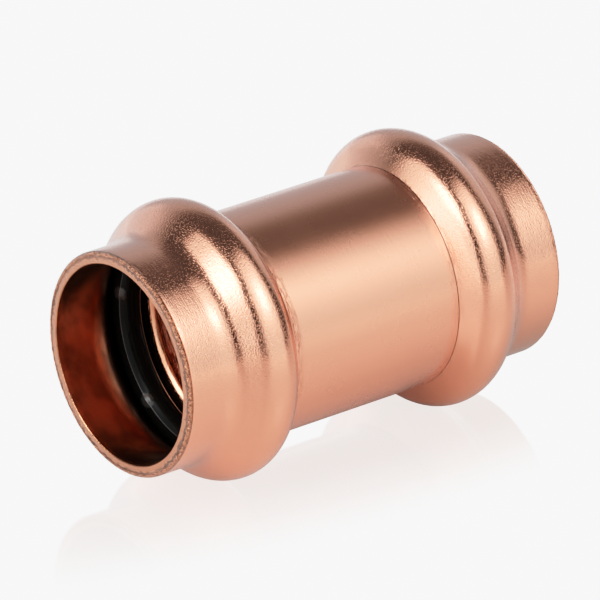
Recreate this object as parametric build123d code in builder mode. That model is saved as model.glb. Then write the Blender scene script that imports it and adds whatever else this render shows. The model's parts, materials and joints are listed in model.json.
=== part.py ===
from build123d import *
import os
from math import cos, radians, sin

# Straight press coupling for 22 mm copper pipe, in millimetres.
#
# One length of copper tube has a V-profile bead rolled into it near each mouth. A rubber
# seal ring sits in the groove inside each bead. A pipe pushes into each end as far as the
# stop at mid-length, and a press tool then squeezes the bead and its ring onto the pipe.
#
# The tube's axis is X, +Z is up, and the origin is the middle of the coupling.

# ---- Driving dimensions -------------------------------------------------------------------

overall_length = 50.7
wall = 1.35                     # wall thickness of the collars and beads

collar_radius = 12.5            # outside of the short collar between a mouth and its bead
middle_radius = 12.43           # outside of the tube between the two beads
socket_radius = 11.15           # inside of the sockets: a 22 mm pipe with a sliding gap
middle_bore_radius = 10.95      # inside of the tube between the two sockets
socket_depth = 21.0             # how far a pipe goes in
shoulder_length = 0.4           # taper between a socket and the middle bore

bead_position = 10.53           # from a mouth to the crest of its bead
crest_radius = 15.59            # outside of the bead at its crest
mouth_lean = 43.0               # slope of the bead's side that faces the mouth, in degrees
middle_lean = 59.0              # slope of the bead's side that faces the middle, in degrees
mouth_crest_arc = 3.65          # rounding from the crest onto the gentle side
middle_crest_arc = 3.05         # rounding from the crest onto the steep side
foot_arc = 3.5                  # hollow where the gentle side runs out into the collar
crease_arc = 0.1                # tight hollow where the steep side meets the middle tube

rim_round = 0.4                 # outer edge of a mouth
rim_bevel = 0.08                # inner edge of a mouth

seal_section_radius = 1.58
seal_gap = 0.01                 # between a seal ring and the top of its groove

stop_punch_radius = 2.0         # round nose of the punch that dents the pipe stop
stop_depth = 1.2                # how deep the dent is outside
stop_angle = -30.0              # the stop's place around the tube, from +Y towards +Z

# ---- Derived places -----------------------------------------------------------------------

mouth_x = -overall_length / 2
crest_x = mouth_x + bead_position
shoulder_x = mouth_x + socket_depth
groove_crest_radius = crest_radius - wall
seal_centre_radius = groove_crest_radius - seal_gap - seal_section_radius

# The socket is one radius on both sides of the groove, so the wall behind the bead is a
# little thinner than the collar's, and the inner side of the crease curves a little tighter.
bead_drop = crest_radius - middle_radius
groove_drop = groove_crest_radius - socket_radius
crease_tightening = (bead_drop - groove_drop) / (1 - cos(radians(middle_lean)))
groove_crease_arc = crease_arc + wall - crease_tightening


def bead_side(crest, heading, lean, upper_arc, lower_arc, land_radius):
    """Draw one side of a bead from its crest to the land beside it: arc, flank, arc."""
    arcs_drop = (upper_arc + lower_arc) * (1 - cos(radians(lean)))
    flank_length = (crest[1] - land_radius - arcs_drop) / sin(radians(lean))
    upper = JernArc(crest, (heading, 0), upper_arc, -heading * lean)
    flank = PolarLine(upper @ 1, flank_length, direction=upper % 1)
    lower = JernArc(flank @ 1, flank % 1, lower_arc, heading * lean)
    return lower @ 1


# ---- Body: one formed copper tube with both beads ------------------------------------------

with BuildPart() as coupling_body:
    with BuildSketch(Plane.XZ):
        with BuildLine():
            # Outer skin, from the left mouth to the middle.
            crest = (crest_x, crest_radius)
            foot = bead_side(crest, -1, mouth_lean, mouth_crest_arc, foot_arc, collar_radius)
            crease = bead_side(crest, 1, middle_lean, middle_crest_arc, crease_arc, middle_radius)
            Line((mouth_x, collar_radius), foot)
            Line(crease, (0, middle_radius))

            # Inner skin, one wall thickness below it, with the sized socket and the middle bore.
            groove = (crest_x, groove_crest_radius)
            lip = bead_side(groove, -1, mouth_lean, mouth_crest_arc - wall, foot_arc + wall,
                            socket_radius)
            ledge = bead_side(groove, 1, middle_lean, middle_crest_arc - wall, groove_crease_arc,
                              socket_radius)
            Line((mouth_x, socket_radius), lip)
            Polyline(ledge, (shoulder_x, socket_radius),
                     (shoulder_x + shoulder_length, middle_bore_radius), (0, middle_bore_radius))

            Line((mouth_x, collar_radius), (mouth_x, socket_radius))
            mirror(about=Plane.YZ)
        make_face()
    revolve(axis=Axis.X)

    # The outer edge of each mouth is rounded, and its inner edge is deburred.
    for mouth in (0, -1):
        rims = coupling_body.edges().filter_by(GeomType.CIRCLE).group_by(Axis.X)[mouth]
        fillet(rims.sort_by(SortBy.RADIUS)[-1], rim_round)
        rims = coupling_body.edges().filter_by(GeomType.CIRCLE).group_by(Axis.X)[mouth]
        chamfer(rims.sort_by(SortBy.RADIUS)[0], rim_bevel)

    # Pipe stop: a punched dent at mid-length that stands out inside the bore as a boss.
    punch_centre_radius = middle_radius + stop_punch_radius - stop_depth
    punch_centre = (0, punch_centre_radius * cos(radians(stop_angle)),
                    punch_centre_radius * sin(radians(stop_angle)))
    with BuildPart(mode=Mode.PRIVATE) as boss:
        with Locations(punch_centre):
            Sphere(stop_punch_radius + wall)
        Cylinder(middle_radius - wall / 2, overall_length / 2, rotation=(0, 90, 0),
                 mode=Mode.INTERSECT)
    add(boss.part)
    with Locations(punch_centre):
        Sphere(stop_punch_radius, mode=Mode.SUBTRACT)

coupling_body.part.label = "coupling_body"

# ---- Seal rings: one O-ring in the groove of each bead -------------------------------------

with BuildPart() as seal_ring_left:
    with BuildSketch(Plane.XZ):
        with Locations((crest_x, seal_centre_radius)):
            Circle(seal_section_radius)
    revolve(axis=Axis.X)

with BuildPart() as seal_ring_right:
    add(seal_ring_left.part)
    mirror(about=Plane.YZ, mode=Mode.REPLACE)

seal_ring_left.part.label = "seal_ring_left"
seal_ring_right.part.label = "seal_ring_right"

# ---- Files --------------------------------------------------------------------------------

os.makedirs("parts", exist_ok=True)
export_step(coupling_body.part, "parts/coupling_body.step")
export_step(seal_ring_left.part, "parts/seal_ring_left.step")
export_step(seal_ring_right.part, "parts/seal_ring_right.step")
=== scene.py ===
import bpy
import json
import numpy as np
from math import cos, pi, radians, sin
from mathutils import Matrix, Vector
from types import SimpleNamespace


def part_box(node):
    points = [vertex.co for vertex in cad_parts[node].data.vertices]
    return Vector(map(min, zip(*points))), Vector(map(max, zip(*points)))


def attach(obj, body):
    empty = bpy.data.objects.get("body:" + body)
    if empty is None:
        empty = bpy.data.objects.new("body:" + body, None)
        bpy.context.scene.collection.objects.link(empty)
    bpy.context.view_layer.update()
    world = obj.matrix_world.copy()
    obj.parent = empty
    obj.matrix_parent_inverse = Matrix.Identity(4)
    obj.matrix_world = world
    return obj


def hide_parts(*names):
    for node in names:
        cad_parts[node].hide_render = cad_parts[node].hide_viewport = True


# A straight copper press coupling: one formed tube with a bead near each mouth, and a black
# seal ring in the groove inside each bead. The tube's axis is X and its middle is the origin.
# Lengths are in millimetres until a mesh is made, and MM turns them into metres. The nodes of
# the materials measure places in metres.

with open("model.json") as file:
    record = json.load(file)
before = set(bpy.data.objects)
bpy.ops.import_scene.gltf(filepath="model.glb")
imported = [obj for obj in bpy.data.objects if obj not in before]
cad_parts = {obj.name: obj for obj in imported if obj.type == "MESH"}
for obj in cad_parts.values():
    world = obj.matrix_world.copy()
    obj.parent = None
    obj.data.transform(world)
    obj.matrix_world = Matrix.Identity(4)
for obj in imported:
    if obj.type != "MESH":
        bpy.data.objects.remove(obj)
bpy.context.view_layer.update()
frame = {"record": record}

MM = 0.001

# ---- Sizes, from the frame where it holds them ---------------------------------------------

body_low, body_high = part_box("coupling_body")
ring_low, ring_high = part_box("seal_ring_left")
mounts = {m["name"]: m for m in frame["record"]["mounts"]}

MOUTH_X = body_low.x / MM
CREST_RADIUS = body_high.z / MM
SOCKET_RADIUS = mounts["pipe_socket_left"]["dims"]["r_mm"]
CREST_X = (ring_low.x + ring_high.x) / 2 / MM
RING_SECTION = (ring_high.x - ring_low.x) / 2 / MM
RING_RADIUS = ring_high.z / MM - RING_SECTION

WALL = 1.35
COLLAR_RADIUS = SOCKET_RADIUS + WALL
MIDDLE_RADIUS = 12.43
MIDDLE_BORE_RADIUS = 10.95
SHOULDER_X = MOUTH_X + 21.0
SHOULDER_LENGTH = 0.4
MOUTH_LEAN, MIDDLE_LEAN = radians(43.0), radians(59.0)
MOUTH_CREST_ARC, MIDDLE_CREST_ARC = 3.65, 3.05
FOOT_ARC, CREASE_ARC = 3.5, 0.1
RIM_ROUND, RIM_BEVEL = 0.4, 0.08
PUNCH_RADIUS, PUNCH_DEPTH = 2.0, 1.2
PUNCH_ANGLE = radians(-30.0)
PUNCH_BLEND = 0.25

# The outer crease and the inner edge behind the ring: how far they are from the middle, how
# deep the crease is and how far the painted shade in it reaches, and how the edge wanders.
CREASE, CREASE_SINK, CREASE_SHADE_REACH = 11.14, 0.03, 0.06
LEDGE, LEDGE_REACH, LEDGE_WANDER = 11.26, 0.3, 0.05

# The cut ends of the tube: the outer ROUGH_BAND of the face is set back and ragged, and the
# rounded edge is worn down and chipped. Each ripple is a seed and its numbers of waves round.
ROUGH_BAND, ROUGH_FADE = 0.6, 0.2
FACE_SINK, FACE_RAGGED = 0.03, 0.025
EDGE_WORN, EDGE_CHIPPED, EDGE_RAGGED = 0.03, 0.022, 0.015
CUT_FADE = 0.12
RAGGED_WAVES = (3, range(15, 110, 3))
CHIPPED_WAVES = (5, range(20, 140, 4))
LEDGE_WAVES = (7, range(5, 26, 3))

# The rings' moulded detail: where its parting line is round its section, from outwards towards
# the middle of the coupling, and the leak-path bumps along it.
PARTING = radians(244.0)
PARTING_HEIGHT, PARTING_SPREAD, PARTING_SHEEN = 0.03, 0.03, 0.028
BUMP_COUNT = 6
BUMP_ANGLE = radians(-53.0)
BUMP_HEIGHT, BUMP_BALL = 0.16, 2.2
BUMP_SHEEN = 0.6

# How fine the meshes are: steps round the axis, and how far apart the points of an outline are.
SEGMENTS = 320
EDGE_POINTS, SECTION_POINTS = 8, 64
CREASE_STEP, FACE_STEP, SHOULDER_STEP, STOP_STEP = 0.06, 0.11, 0.2, 0.3
BEAD_STEP, BORE_STEP, GROOVE_STEP, COLLAR_STEP, LAND_STEP = 0.36, 0.4, 0.42, 0.6, 1.0
CREASE_REACH = 0.3      # how far the finest steps run on beside the crease
STOP_REACH = 4.0        # half length of the finer steps round the pipe stop

# ---- Outlines ------------------------------------------------------------------------------


def line(start, end, step):
    """Points from start to just before end, no more than step apart."""
    start, end = np.array(start, float), np.array(end, float)
    count = max(1, int(np.ceil(np.linalg.norm(end - start) / step)))
    return [start + (end - start) * i / count for i in range(count)]


def bead_side(crest, heading, lean, upper_arc, lower_arc, land_radius, step):
    """One side of a bead from its crest to the land beside it: arc, flank, arc."""
    arcs_drop = (upper_arc + lower_arc) * (1 - cos(lean))
    flank = (crest[1] - land_radius - arcs_drop) / sin(lean)
    turns = max(4, int(np.ceil(upper_arc * lean / step)))
    upper = [(crest[0] + heading * upper_arc * sin(lean * i / turns),
              crest[1] - upper_arc * (1 - cos(lean * i / turns))) for i in range(turns + 1)]
    foot = (upper[-1][0] + heading * (flank * cos(lean) + lower_arc * sin(lean)), land_radius)
    turns = max(6, int(np.ceil(lower_arc * lean / step)))
    lower = [(foot[0] - heading * lower_arc * sin(lean * (1 - i / turns)),
              foot[1] + lower_arc * (1 - cos(lean * (1 - i / turns)))) for i in range(turns + 1)]
    return upper + line(upper[-1], lower[0], step)[1:] + lower


def half_skin(crest_radius, arcs, lands, step):
    """A skin from the mouth's land to the middle's land, over one bead, left to right."""
    crest = (CREST_X, crest_radius)
    front = bead_side(crest, -1, MOUTH_LEAN, arcs[0], arcs[1], lands[0], step)
    back = bead_side(crest, 1, MIDDLE_LEAN, arcs[2], arcs[3], lands[1], step)
    return front[:0:-1] + back


def outer_skin():
    """The outside of the left half, from the mouth's rounded edge to just before the middle."""
    bead = half_skin(CREST_RADIUS, (MOUTH_CREST_ARC, FOOT_ARC, MIDDLE_CREST_ARC, CREASE_ARC),
                     (COLLAR_RADIUS, MIDDLE_RADIUS), BEAD_STEP)
    edge = [(MOUTH_X + RIM_ROUND * (1 - sin(a)), COLLAR_RADIUS - RIM_ROUND * (1 - cos(a)))
            for a in np.linspace(pi / 2, 0, EDGE_POINTS)]
    collar = line(edge[-1], bead[0], COLLAR_STEP)[1:]
    crease_x, crease_radius = bead[-1]
    beside = (crease_x + CREASE_REACH, MIDDLE_RADIUS)
    stop = (-STOP_REACH, MIDDLE_RADIUS)
    middle = (line(bead[-1], beside, CREASE_STEP)[1:] + line(beside, stop, LAND_STEP)
              + line(stop, (0, MIDDLE_RADIUS), STOP_STEP))
    bead[-1] = (crease_x, crease_radius - CREASE_SINK)
    return edge + collar + bead + middle


def inner_skin():
    """The inside of the left half, from the mouth's bevelled edge to just before the middle."""
    groove_crest = CREST_RADIUS - WALL
    tightening = ((CREST_RADIUS - MIDDLE_RADIUS) - (groove_crest - SOCKET_RADIUS)) / (
        1 - cos(MIDDLE_LEAN))
    groove = half_skin(groove_crest, (MOUTH_CREST_ARC - WALL, FOOT_ARC + WALL,
                                      MIDDLE_CREST_ARC - WALL, CREASE_ARC + WALL - tightening),
                       (SOCKET_RADIUS, SOCKET_RADIUS), GROOVE_STEP)
    mouth = (MOUTH_X, SOCKET_RADIUS + RIM_BEVEL)
    lip = (MOUTH_X + RIM_BEVEL, SOCKET_RADIUS)
    shoulder = (SHOULDER_X, SOCKET_RADIUS)
    bore = (SHOULDER_X + SHOULDER_LENGTH, MIDDLE_BORE_RADIUS)
    return ([mouth] + line(lip, groove[0], COLLAR_STEP) + groove
            + line(groove[-1], shoulder, LAND_STEP)[1:] + line(shoulder, bore, SHOULDER_STEP)
            + line(bore, (0, MIDDLE_BORE_RADIUS), BORE_STEP))


def face_points(outer_radius, inner_radius):
    """The flat end of the tube, from the outer edge to the inner bevel."""
    return line((MOUTH_X, outer_radius), (MOUTH_X, inner_radius), FACE_STEP)[1:]


def mirrored(points):
    return [(-x, r) for x, r in points[::-1]]


# ---- Meshes --------------------------------------------------------------------------------


def lathe(outline):
    """A closed outline of (x, radius) turned round the X axis: points' x, r and angle, and faces."""
    outline = np.array([(float(x), float(r)) for x, r in outline])
    angles = np.arange(SEGMENTS) * 2 * pi / SEGMENTS
    x = np.repeat(outline[:, 0], SEGMENTS)
    r = np.repeat(outline[:, 1], SEGMENTS)
    a = np.tile(angles, len(outline))
    rows, columns = np.meshgrid(np.arange(len(outline)), np.arange(SEGMENTS), indexing="ij")
    next_row, next_column = (rows + 1) % len(outline), (columns + 1) % SEGMENTS
    corners = [rows * SEGMENTS + columns, rows * SEGMENTS + next_column,
               next_row * SEGMENTS + next_column, next_row * SEGMENTS + columns]
    faces = np.stack([c.ravel() for c in corners], -1)
    return x, r, a, faces


def make_object(name, x, r, a, faces, material):
    """Puts turned points in the scene as a smooth piece."""
    mesh = bpy.data.meshes.new(name)
    points = np.stack([x, r * np.cos(a), r * np.sin(a)], -1) * MM
    mesh.from_pydata(points.tolist(), [], faces.tolist())
    mesh.shade_smooth()
    mesh.set_sharp_from_angle(angle=radians(28))
    mesh.materials.append(material)
    piece = bpy.data.objects.new(name, mesh)
    bpy.context.scene.collection.objects.link(piece)
    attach(piece, "root")
    return piece


def add_mask(piece, name, values):
    """Stores a value for each point, for the material's nodes to read."""
    attribute = piece.data.attributes.new(name, "FLOAT", "POINT")
    attribute.data.foreach_set("value", np.asarray(values, np.float32))


def smooth_least(a, b, blend):
    """The lesser of a and b, rounded off where they meet."""
    h = np.clip(0.5 + 0.5 * (b - a) / blend, 0, 1)
    return b + (a - b) * h - blend * h * (1 - h)


def waves(angles, seed, counts):
    """A seeded closed ripple round the tube, about -1 to 1, from whole numbers of waves."""
    draw = np.random.default_rng(seed)
    total = np.zeros_like(angles)
    for count in counts:
        total += draw.normal() * np.cos(count * angles + draw.uniform(0, 2 * pi))
    return total / np.sqrt(len(counts))


def punch(x, r, a, inside):
    """Dents the skin where the pipe stop was punched, at mid-length."""
    centre = MIDDLE_RADIUS + PUNCH_RADIUS - PUNCH_DEPTH
    nose = np.where(inside, PUNCH_RADIUS + WALL, PUNCH_RADIUS)
    side = np.hypot(x, centre * np.sin(a - PUNCH_ANGLE))
    near = (side < nose) & (np.cos(a - PUNCH_ANGLE) > 0)
    reach = np.sqrt(np.where(near, nose ** 2 - side ** 2, 0))
    dented = np.where(near, centre * np.cos(a - PUNCH_ANGLE) - reach, r + 1)
    return smooth_least(r, dented, PUNCH_BLEND)


def make_body(material):
    """The tube with both beads, turned, dented at its stop and roughened at its cut ends."""
    outer, inner = outer_skin(), inner_skin()
    face = face_points(outer[0][1], inner[0][1])
    outline = (outer + [(0, MIDDLE_RADIUS)] + mirrored(outer) + mirrored(face[::-1])
               + mirrored(inner[::-1]) + [(0, MIDDLE_BORE_RADIUS)] + inner[::-1] + face[::-1])
    x, r, a, faces = lathe(outline)
    skin = np.repeat(np.arange(len(outline)), SEGMENTS)
    outer_count = 2 * len(outer) + 1
    inside = skin >= outer_count
    r = punch(x, r, a, inside)

    # The mouths are cut ends, and their rounded outer edge is ragged. Angles are shifted on the
    # right, so that the two ends differ.
    right = x > 0
    edge = np.clip((np.abs(x) + MOUTH_X + RIM_ROUND) / RIM_ROUND, 0, 1) * ~inside
    ragged = waves(a + right, *RAGGED_WAVES)
    chipped = waves(a + 2 * right, *CHIPPED_WAVES)
    on_face = np.abs(x) > -MOUTH_X - 0.01
    rough = on_face * np.clip((r - COLLAR_RADIUS + ROUGH_BAND) / ROUGH_FADE, 0, 1)
    x = x - np.sign(x) * rough * (FACE_SINK + FACE_RAGGED * ragged)
    r = r + edge * (EDGE_CHIPPED * chipped + EDGE_RAGGED * ragged - EDGE_WORN)

    # The inner edge behind each ring wanders a little, as the roller left it.
    ledge = np.exp(-((np.abs(x) - LEDGE) / LEDGE_REACH) ** 2) * inside
    r = r - ledge * LEDGE_WANDER * waves(a + right, *LEDGE_WAVES)

    body = make_object("coupling_body_formed", x, r, a, faces, material)

    # Masks that the copper's nodes read: how bead-like, bore-like, freshly cut and close to a
    # crease each place is. Shade is painted along the crease.
    bead = np.clip((r - COLLAR_RADIUS - 0.05) / 0.8, 0, 1) * ~inside
    bore = (skin >= outer_count + len(face)) & (skin < len(outline) - len(face))
    cut = np.clip((np.abs(x) + MOUTH_X + RIM_ROUND) / CUT_FADE, 0, 1)
    crease = np.clip(1.2 - np.abs(np.abs(x) - CREASE) / CREASE_SHADE_REACH, 0, 1) * ~inside
    for name, mask in (("bead", bead), ("bore", bore), ("cut", cut), ("crease", crease)):
        add_mask(body, name, mask)
    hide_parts("coupling_body")


def make_ring(side, sign, material):
    """A moulded ring with a fine parting line and small round leak-path bumps on its front."""
    turns = [2 * pi * i / SECTION_POINTS for i in range(SECTION_POINTS)]
    turns += [PARTING + d for d in (-0.05, -0.02, 0.02, 0.05)]
    outline = [(sin(t), cos(t)) for t in sorted(turns)]
    across, up, a, faces = lathe(outline)
    turn = np.arctan2(across, up) % (2 * pi)
    ridge = PARTING_HEIGHT * np.exp(-((turn - PARTING) / PARTING_SPREAD) ** 2)
    bump_step = 2 * pi / BUMP_COUNT
    around = ((a - BUMP_ANGLE) % bump_step + bump_step / 2) % bump_step - bump_step / 2
    offset = np.hypot(around * RING_RADIUS, (turn - PARTING) * RING_SECTION)
    bumps = np.sqrt(np.clip(BUMP_BALL ** 2 - offset ** 2, 0, None)) - BUMP_BALL + BUMP_HEIGHT
    section = RING_SECTION + ridge + np.clip(bumps, 0, None)
    x = sign * (CREST_X + section * across)
    r = RING_RADIUS + section * up
    if sign < 0:
        faces = faces[:, ::-1]
    ring = make_object("seal_ring_" + side + "_moulded", x, r, a, faces, material)

    # The mask that the rubber's nodes read: where the mould left its line and bumps, which get a
    # painted paler sheen.
    moulded = np.exp(-((turn - PARTING) / PARTING_SHEEN) ** 2) + np.clip(bumps / 0.03, 0, BUMP_SHEEN)
    add_mask(ring, "moulded", moulded)
    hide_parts("seal_ring_" + side)


# ---- Materials -----------------------------------------------------------------------------


class Nodes:
    """Short calls for making and joining shader nodes in one tree."""

    def __init__(self, tree):
        self.tree = tree
        tree.nodes.clear()

    def set_input(self, socket, value):
        """Joins a node's output to the socket, or sets the socket to a constant."""
        if isinstance(value, bpy.types.NodeSocket):
            self.tree.links.new(value, socket)
        else:
            socket.default_value = value

    def add(self, kind, inputs=None, **settings):
        node = self.tree.nodes.new(kind)
        for key, value in settings.items():
            setattr(node, key, value)
        for key, value in (inputs or {}).items():
            self.set_input(node.inputs[key], value)
        return node

    def math(self, operation, *values):
        return self.add("ShaderNodeMath", dict(enumerate(values)), operation=operation).outputs[0]

    def vector(self, operation, *values):
        inputs = dict(enumerate(values))
        return self.add("ShaderNodeVectorMath", inputs, operation=operation).outputs[0]

    def scaled(self, vector, factor):
        inputs = {0: vector, "Scale": factor}
        return self.add("ShaderNodeVectorMath", inputs, operation="SCALE").outputs[0]

    def length(self, vector):
        return self.add("ShaderNodeVectorMath", {0: vector}, operation="LENGTH").outputs["Value"]

    def dot(self, a, b):
        inputs = {0: a, 1: b}
        return self.add("ShaderNodeVectorMath", inputs, operation="DOT_PRODUCT").outputs["Value"]

    def smooth(self, value, low, high, to_low=0.0, to_high=1.0):
        """to_low below low, to_high above high, and a smooth step between."""
        inputs = {0: value, 1: low, 2: high, 3: to_low, 4: to_high}
        return self.add("ShaderNodeMapRange", inputs, interpolation_type="SMOOTHSTEP").outputs[0]

    def mask(self, name):
        return self.add("ShaderNodeAttribute", attribute_name=name).outputs["Fac"]

    def noise(self, coordinates, scale, detail, roughness=0.5):
        inputs = {"Vector": coordinates, "Scale": scale, "Detail": detail, "Roughness": roughness}
        return self.add("ShaderNodeTexNoise", inputs).outputs["Fac"]

    def stretched_noise(self, coordinates, scales, detail, roughness):
        """Noise with its own scale along each axis."""
        return self.noise(self.vector("MULTIPLY", coordinates, scales), 1.0, detail, roughness)

    def bump(self, height):
        """The normal of a relief whose height is in millimetres."""
        inputs = {"Strength": 1.0, "Distance": MM, "Height": height}
        return self.add("ShaderNodeBump", inputs).outputs["Normal"]

    def mix_colour(self, factor, a, b):
        node = self.add("ShaderNodeMix", data_type="RGBA")
        for index, value in ((0, factor), (6, a), (7, b)):
            self.set_input(node.inputs[index], value)
        return node.outputs[2]


def new_material(name):
    material = bpy.data.materials.new(name)
    material.use_nodes = True
    return material, Nodes(material.node_tree)


COPPER = (0.93, 0.435, 0.29, 1.0)
COPPER_DEEP = (0.80, 0.36, 0.19, 1.0)
COPPER_DULL = (0.38, 0.155, 0.075, 1.0)
COPPER_FACE = (0.72, 0.32, 0.185, 1.0)
# Dark torn metal, also used for painted dark reflections on the chips and painted shade in the cut's
# furrow.
TORN_COPPER_AND_SHADE = (0.22, 0.085, 0.048, 1.0)
# Painted shade: the dark colour laid along each outer crease.
CREASE_SHADE = (0.10, 0.04, 0.025, 1.0)

# How fine the copper's textures are, in features per metre. A triple is along X, Y and Z.
GRAIN_SCALE, PIT_SCALE, MOTTLE_SCALE = 4600.0, 5000.0, 160.0
CHIP_SCALE, TEAR_SCALE = 3400.0, 1300.0
MARK_SCALES = (8500.0, 420.0, 420.0)
SCRAPE_SCALES = (9000.0, 600.0, 600.0)
PATCH_SCALES = (320.0, 230.0, 230.0)

# Between which distances from the middle, along the tube, the outside turns into a worked end,
# the scrapes start and stop, and the bore gets duller and rougher.
ENDS = (0.0108, 0.0125)
SCRAPES_START, SCRAPES_STOP = (0.0098, 0.0109), (0.0112, 0.0116)
BORE_DULLING, BORE_ROUGHENING = (0.0110, 0.0150), (0.0110, 0.0170)

# At which distances from the axis a cut end is torn, has its furrow and has its dark edge line.
TORN = (0.01186, 0.01198)
FURROW_PLACE, FURROW_WANDER, FURROW_WIDTH = 0.01248, 0.0011, (0.00009, 0.00020)
EDGE_LINE = (0.01236, 0.01243)

# Relief in millimetres. What the ends, the cut faces and the beads have is added to the tube's.
GRAIN_RELIEF, ENDS_GRAIN_RELIEF, CUT_GRAIN_RELIEF = 0.003, 0.009, 0.08
MARK_RELIEF, ENDS_MARK_RELIEF, BEAD_MARK_RELIEF = 0.005, 0.011, -0.010
PIT_RELIEF, SCRAPE_RELIEF, FURROW_RELIEF, CHIP_RELIEF = -0.0082, -0.05, -0.04, 0.42

# Roughness: how much smoother the ends and beads are than the tube, and the bore's from its
# mouth to deep inside. The clear coat is thinner in the bore.
TUBE_ROUGHNESS, ENDS_SMOOTHING, BEAD_SMOOTHING, MOTTLE_ROUGHNESS = 0.27, 0.165, 0.01, 0.08
BORE_ROUGHNESS = (0.10, 0.24)
COAT_ROUGHNESS, COAT_IOR, BORE_COAT_LOSS = 0.16, 1.45, 0.8


def copper_wear(n, place):
    """Where the copper is worked, scraped, cut and torn, where shade is painted into the crease and
    the cut's furrow, and the textures they share.
    """
    w = SimpleNamespace()
    w.bead, w.bore, w.cut, w.crease = n.mask("bead"), n.mask("bore"), n.mask("cut"), n.mask("crease")
    w.outside = n.math("SUBTRACT", 1.0, w.bore)
    lengthwise = n.add("ShaderNodeSeparateXYZ", {0: place}).outputs[0]
    w.along = n.math("ABSOLUTE", lengthwise)
    radius = n.length(n.vector("MULTIPLY", place, (0.0, 1.0, 1.0)))
    w.grain = n.noise(place, GRAIN_SCALE, 1.0, 0.6)
    w.mottle = n.noise(place, MOTTLE_SCALE, 3.0, 0.6)
    w.chips = n.noise(place, CHIP_SCALE, 2.0, 0.65)

    # The ends were worked by the rollers. The tube between them is smooth, apart from patchy
    # scrapes beside each crease, fainter on the right.
    w.ends = n.smooth(w.along, *ENDS)
    scrapes = n.stretched_noise(place, SCRAPE_SCALES, 3.0, 0.7)
    scraped = n.math("MULTIPLY", n.smooth(w.along, *SCRAPES_START),
                     n.smooth(w.along, *SCRAPES_STOP, 1.0, 0.0))
    scraped = n.math("MULTIPLY", scraped, n.smooth(w.mottle, 0.42, 0.60, 0.4, 1.0))
    scraped = n.math("MULTIPLY", scraped, n.smooth(lengthwise, -0.002, 0.002, 1.0, 0.35))
    w.scraped = n.math("MULTIPLY", scraped, n.smooth(scrapes, 0.50, 0.62))

    # The outer part of a cut mouth is rough and chipped, with a ragged furrow between it and the
    # smoother inner part, where shade is painted dark, and a dark line at its very edge.
    tears = n.noise(place, TEAR_SCALE, 2.0, 0.6)
    w.torn = n.math("MULTIPLY", n.smooth(radius, *TORN), w.cut)
    furrow = n.math("SUBTRACT", n.math("MULTIPLY_ADD", tears, FURROW_WANDER, radius), FURROW_PLACE)
    furrow = n.smooth(n.math("ABSOLUTE", furrow), *FURROW_WIDTH, 1.0, 0.0)
    w.furrow = n.math("MULTIPLY", n.math("MULTIPLY", furrow, w.cut), w.outside)
    w.edge_line = n.math("MULTIPLY", n.smooth(radius, *EDGE_LINE), w.cut)
    return w


def copper_relief(n, place, w):
    """Grain, pits, fine marks round the tube, scrapes, and the torn cut ends."""
    # The marks run round the tube, so they change quickly along X and slowly across it.
    marks = n.stretched_noise(place, MARK_SCALES, 2.0, 0.6)
    pits = n.smooth(n.noise(place, PIT_SCALE, 1.0, 0.7), 0.54, 0.66)
    pits = n.math("MULTIPLY", pits, w.outside)
    grained = n.math("MULTIPLY_ADD", w.ends, ENDS_GRAIN_RELIEF, GRAIN_RELIEF)
    marked = n.math("MULTIPLY_ADD", w.bead, BEAD_MARK_RELIEF, MARK_RELIEF)
    marked = n.math("MULTIPLY_ADD", w.ends, ENDS_MARK_RELIEF, marked)
    height = n.math("MULTIPLY", w.grain, grained)
    height = n.math("MULTIPLY_ADD", pits, n.math("MULTIPLY", w.ends, PIT_RELIEF), height)
    height = n.math("MULTIPLY_ADD", marks, marked, height)
    height = n.math("MULTIPLY_ADD", w.scraped, SCRAPE_RELIEF, height)
    height = n.math("MULTIPLY_ADD", n.math("MULTIPLY", w.chips, w.torn), CHIP_RELIEF, height)
    height = n.math("MULTIPLY_ADD", n.math("MULTIPLY", w.grain, w.cut), CUT_GRAIN_RELIEF, height)
    return n.math("MULTIPLY_ADD", w.furrow, FURROW_RELIEF, height)


def copper_roughness(n, w):
    """Smoother on the ends than on the tube between, and rougher deep in the bore."""
    roughness = n.math("MULTIPLY_ADD", w.ends, -ENDS_SMOOTHING, TUBE_ROUGHNESS)
    roughness = n.math("MULTIPLY_ADD", w.bead, -BEAD_SMOOTHING, roughness)
    deeper = n.smooth(w.along, *BORE_ROUGHENING, *BORE_ROUGHNESS)
    roughness = n.math("MULTIPLY_ADD", w.bore, n.math("SUBTRACT", deeper, roughness), roughness)
    uneven = n.math("SUBTRACT", w.mottle, 0.5)
    return n.math("MULTIPLY_ADD", uneven, MOTTLE_ROUGHNESS, roughness)


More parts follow.
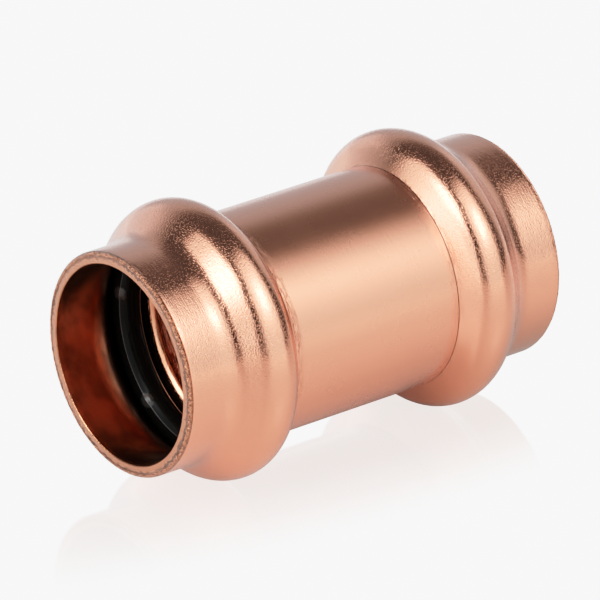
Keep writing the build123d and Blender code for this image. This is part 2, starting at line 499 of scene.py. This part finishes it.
def copper_colour(n, place, w):
    """Bright copper outside, deeper and blotched inside, dark where it is torn, partly as painted
    dark reflections, with painted shade in the cut's furrow and in the outer crease.
    """
    patches = n.stretched_noise(place, PATCH_SCALES, 4.0, 0.6)
    deep = n.mix_colour(n.smooth(patches, 0.38, 0.62), COPPER_DULL, COPPER_DEEP)
    dulled = n.math("MULTIPLY", w.bore, n.smooth(w.along, *BORE_DULLING, 0.35, 0.8))
    chipped = n.math("MULTIPLY", w.torn, n.smooth(w.chips, 0.41, 0.54, 0.8, 0.0))
    painted_furrow_shade = n.math("MULTIPLY", w.furrow, n.smooth(w.mottle, 0.4, 0.6, 0.45, 0.9))
    colour = n.mix_colour(dulled, COPPER, deep)
    colour = n.mix_colour(n.math("MULTIPLY", w.scraped, 0.5), colour, COPPER_DULL)
    colour = n.mix_colour(n.math("MULTIPLY", w.cut, w.outside), colour, COPPER_FACE)
    # The torn chips are darkened, partly as torn metal and partly as painted dark reflections; the
    # furrow gets painted shade.
    colour = n.mix_colour(chipped, colour, TORN_COPPER_AND_SHADE)
    colour = n.mix_colour(painted_furrow_shade, colour, TORN_COPPER_AND_SHADE)
    colour = n.mix_colour(n.math("MULTIPLY", w.edge_line, 0.5), colour, TORN_COPPER_AND_SHADE)
    # Painted shade darkens the outer crease.
    return n.mix_colour(n.math("MULTIPLY", w.crease, w.outside), colour, CREASE_SHADE)


def copper_material():
    material, n = new_material("formed_copper")
    place = n.add("ShaderNodeTexCoord").outputs["Object"]
    wear = copper_wear(n, place)
    normal = n.bump(copper_relief(n, place, wear))
    shader = n.add("ShaderNodeBsdfPrincipled", {
        "Base Color": copper_colour(n, place, wear), "Metallic": 1.0,
        "Roughness": copper_roughness(n, wear), "Normal": normal,
        "Coat Weight": n.math("MULTIPLY_ADD", wear.bore, -BORE_COAT_LOSS, 1.0),
        "Coat Roughness": COAT_ROUGHNESS, "Coat IOR": COAT_IOR, "Coat Normal": normal})
    n.add("ShaderNodeOutputMaterial", {"Surface": shader.outputs[0]})
    return material


RUBBER = (0.004, 0.004, 0.004, 1.0)
RUBBER_BLOOM = (0.008, 0.008, 0.007, 1.0)
# A painted highlight: the paler sheen along the parting line and on the bumps.
RUBBER_PAINTED_SHEEN = (0.11, 0.11, 0.105, 1.0)


def rubber_material():
    """Glossy black rubber, with a painted paler sheen along its parting line and on its bumps."""
    material, n = new_material("moulded_rubber")
    place = n.add("ShaderNodeTexCoord").outputs["Object"]
    mottle = n.noise(place, 900.0, 3.0, 0.6)
    moulded = n.mask("moulded")
    roughness = n.math("MULTIPLY_ADD", moulded, 0.15, n.smooth(mottle, 0.3, 0.7, 0.05, 0.09))
    colour = n.mix_colour(mottle, RUBBER, RUBBER_BLOOM)
    # Painted highlight along the parting line and on the bumps.
    colour = n.mix_colour(n.math("MULTIPLY", moulded, 0.6), colour, RUBBER_PAINTED_SHEEN)
    shader = n.add("ShaderNodeBsdfPrincipled", {
        "Base Color": colour, "Roughness": roughness,
        "Specular IOR Level": n.math("MULTIPLY_ADD", moulded, 0.8, 0.08),
        "Normal": n.bump(n.math("MULTIPLY", mottle, 0.004))})
    n.add("ShaderNodeOutputMaterial", {"Surface": shader.outputs[0]})
    return material


# ---- Studio --------------------------------------------------------------------------------

# How bright the pale backdrop and floor are to the camera, and the dim light all round.
PALE = 1.25
FILL = 0.10

# Softboxes and black cards far away round the object: azimuth from +X towards +Y and elevation
# of the middle, half width, half height and edge softness, all in degrees, then how bright the
# box is and its colour, or how much of the light behind it the card takes away.
PLAIN = (1.0, 1.0, 1.0)
COOL = (0.91, 0.97, 1.05)
WARM = (1.1, 1.0, 0.88)
SOFTBOXES = (
    (-79, 31, 36, 48, 9, 1.02, PLAIN),
    (-77, 46, 24, 18, 18, 0.92, PLAIN),
    (-76, 44, 12, 8, 8, 2.7, PLAIN),
    (-180, 3, 41, 56, 5, 1.16, PLAIN),
    (-173, 38, 17, 12, 9, 2.4, PLAIN),
    (-172, 42, 10, 7, 8, 1.5, PLAIN),
    (173, 18, 13, 16, 12, 1.2, PLAIN),
    (-176, 67, 26, 8, 8, 0.06, PLAIN),
    (72, 10, 40, 31, 10, 0.40, COOL),
    (102, 8, 26, 16, 8, 0.38, COOL),
    (-150, 1, 32, 13, 8, 0.18, PLAIN),
    (-46, 22, 12, 13, 9, 0.10, PLAIN),
    (12, 8, 20, 29, 9, 0.52, PLAIN),
    (52, 46, 30, 12, 8, 0.038, WARM),
)
CARDS = (
    (-140, 48, 8, 16, 6, 0.8),
    (-130, 23, 8, 13, 5, 0.7),
)


def direction(azimuth, elevation):
    a, e = radians(azimuth), radians(elevation)
    return Vector((cos(a) * cos(e), sin(a) * cos(e), sin(e)))


def window(n, ray, azimuth, elevation, half_width, half_height, edge):
    """1 where a ray goes through a rectangle in the sky, 0 outside it, soft at its edge."""
    ahead = direction(azimuth, elevation)
    right = direction(azimuth - 90, 0)
    above = right.cross(ahead)
    depth = n.dot(ray, ahead)
    inside = n.math("GREATER_THAN", depth, 0.05)
    for axis, half in ((right, half_width), (above, half_height)):
        angle = n.math("ABSOLUTE", n.math("ARCTAN2", n.dot(ray, axis), depth))
        fade = n.smooth(angle, radians(half - edge), radians(half + edge), 1.0, 0.0)
        inside = n.math("MULTIPLY", inside, fade)
    return inside


def studio_world():
    world = bpy.data.worlds.new("studio")
    world.use_nodes = True
    bpy.context.scene.world = world
    n = Nodes(world.node_tree)
    ray = n.vector("NORMALIZE", n.add("ShaderNodeTexCoord").outputs["Generated"])
    light = (FILL, FILL, FILL)
    for *place, brightness, colour in SOFTBOXES:
        lamp = tuple(brightness * c for c in colour)
        light = n.vector("ADD", light, n.scaled(lamp, window(n, ray, *place)))
    for *place, taken in CARDS:
        kept = n.math("MULTIPLY_ADD", window(n, ray, *place), -taken, 1.0)
        light = n.scaled(light, kept)

    # The camera, and the floor's sharp mirror, see a plain pale wall behind the object instead.
    path = n.add("ShaderNodeLightPath").outputs
    wall = n.math("MAXIMUM", path["Is Camera Ray"], path["Is Singular Ray"])
    shown = n.mix_colour(wall, light, (PALE, PALE, PALE, 1.0))
    background = n.add("ShaderNodeBackground", {"Color": shown, "Strength": 1.0})
    n.add("ShaderNodeOutputWorld", {"Surface": background.outputs[0]})


FLOOR_RADIUS = 2.6
# A painted warm bounce of the copper's light, laid on the floor in front of the object.
FLOOR_PAINTED_BOUNCE = (0.55, 0.477, 0.445, 1.0)
FLOOR_PLAIN = (0.54, 0.53, 0.53, 1.0)
FLOOR_LIGHT = 0.64
MIRROR = (0.19, 0.27, 0.30, 1.0)
GLOW = (0.81, 0.73, 0.70, 1.0)


def oval_distance(n, place, scales, middle):
    """How far a place is from the middle once its X and Y are scaled, so that rings are ovals."""
    return n.length(n.vector("SUBTRACT", n.vector("MULTIPLY", place, scales), middle))


def lit_floor(n, place):
    """The floor as the object sees it: a glow with painted shade close under the object, and a
    painted warm bounce of the copper's light in front of it.
    """
    beside = oval_distance(n, place, (0.6, 0.9, 0.0), (0.011, 0.003, 0.0))
    # Painted shadow: the floor glows less close under the object.
    openness = n.smooth(beside, 0.005, 0.034, 0.25, 1.0)
    behind = n.smooth(n.add("ShaderNodeSeparateXYZ", {0: place}).outputs[1], -0.005, 0.018)
    # Painted warm bounce in front of the object.
    colour = n.mix_colour(behind, FLOOR_PAINTED_BOUNCE, FLOOR_PLAIN)
    shader = n.add("ShaderNodeBsdfPrincipled", {
        "Base Color": colour, "Roughness": 0.16, "Specular IOR Level": 0.5,
        "Emission Color": colour, "Emission Strength": n.math("MULTIPLY", openness, FLOOR_LIGHT)})
    return shader.outputs[0]


def seen_floor(n, place):
    """The floor as the camera sees it: a slightly uneven mirror in a glow, plain further out."""
    uneven = n.bump(n.math("MULTIPLY", n.noise(place, 16000.0, 0.0), 0.0008))
    mirror = n.add("ShaderNodeBsdfGlossy", {"Color": MIRROR, "Roughness": 0.0, "Normal": uneven})
    glow = n.add("ShaderNodeEmission", {"Color": GLOW, "Strength": PALE})
    near = n.add("ShaderNodeAddShader", {0: mirror.outputs[0], 1: glow.outputs[0]})
    far = n.add("ShaderNodeEmission", {"Strength": PALE})
    away = oval_distance(n, place, (0.3, 0.9, 0.0), (0.0036, 0.0, 0.0))
    faded = n.smooth(away, 0.0075, 0.022)
    seen = n.add("ShaderNodeMixShader", {0: faded, 1: near.outputs[0], 2: far.outputs[0]})
    return seen.outputs[0]


def make_floor():
    """A pale glossy floor under the beads. The camera sees it bright, with the object mirrored."""
    bpy.ops.mesh.primitive_circle_add(vertices=96, radius=FLOOR_RADIUS, fill_type="NGON",
                                      location=(0, 0, body_low.z))
    floor = bpy.context.object
    floor.name = "floor"
    material, n = new_material("pale_floor")
    place = n.add("ShaderNodeTexCoord").outputs["Object"]
    to_camera = n.add("ShaderNodeLightPath").outputs["Is Camera Ray"]
    both = n.add("ShaderNodeMixShader",
                 {0: to_camera, 1: lit_floor(n, place), 2: seen_floor(n, place)})
    n.add("ShaderNodeOutputMaterial", {"Surface": both.outputs[0]})
    floor.data.materials.append(material)


CAMERA_PLACE = Vector((-465.55, -588.35, 348.11)) * MM
CAMERA_AHEAD = Vector((0.56234, 0.71199, -0.42053))
CAMERA_LENS = 459.9


def make_camera():
    data = bpy.data.cameras.new("camera")
    data.lens, data.sensor_width = CAMERA_LENS, 36.0
    data.clip_start, data.clip_end = 0.05, 20.0
    camera = bpy.data.objects.new("camera", data)
    camera.location = CAMERA_PLACE
    camera.rotation_euler = CAMERA_AHEAD.to_track_quat("-Z", "Y").to_euler()
    bpy.context.scene.collection.objects.link(camera)
    bpy.context.scene.camera = camera


# The film's response: what light gives what brightness. Shadows deepen a little and highlights
# roll off softly, up to FILM_WHITE.
FILM_WHITE = 1.6
FILM = ((0.02, 0.0155), (0.06, 0.049), (0.15, 0.142), (0.30, 0.30), (0.60, 0.59), (0.75, 0.70),
        (0.88, 0.768), (1.06, 0.847), (1.26, 0.935))


def set_film():
    view = bpy.context.scene.view_settings
    view.view_transform = "Standard"
    view.use_curve_mapping = True
    mapping = view.curve_mapping
    mapping.white_level = (FILM_WHITE, FILM_WHITE, FILM_WHITE)
    for light, brightness in FILM:
        mapping.curves[3].points.new(light / FILM_WHITE, brightness)
    mapping.update()


# ---- Everything ----------------------------------------------------------------------------

copper = copper_material()
rubber = rubber_material()
make_body(copper)
make_ring("left", 1, rubber)
make_ring("right", -1, rubber)
make_floor()
studio_world()
make_camera()
set_film()
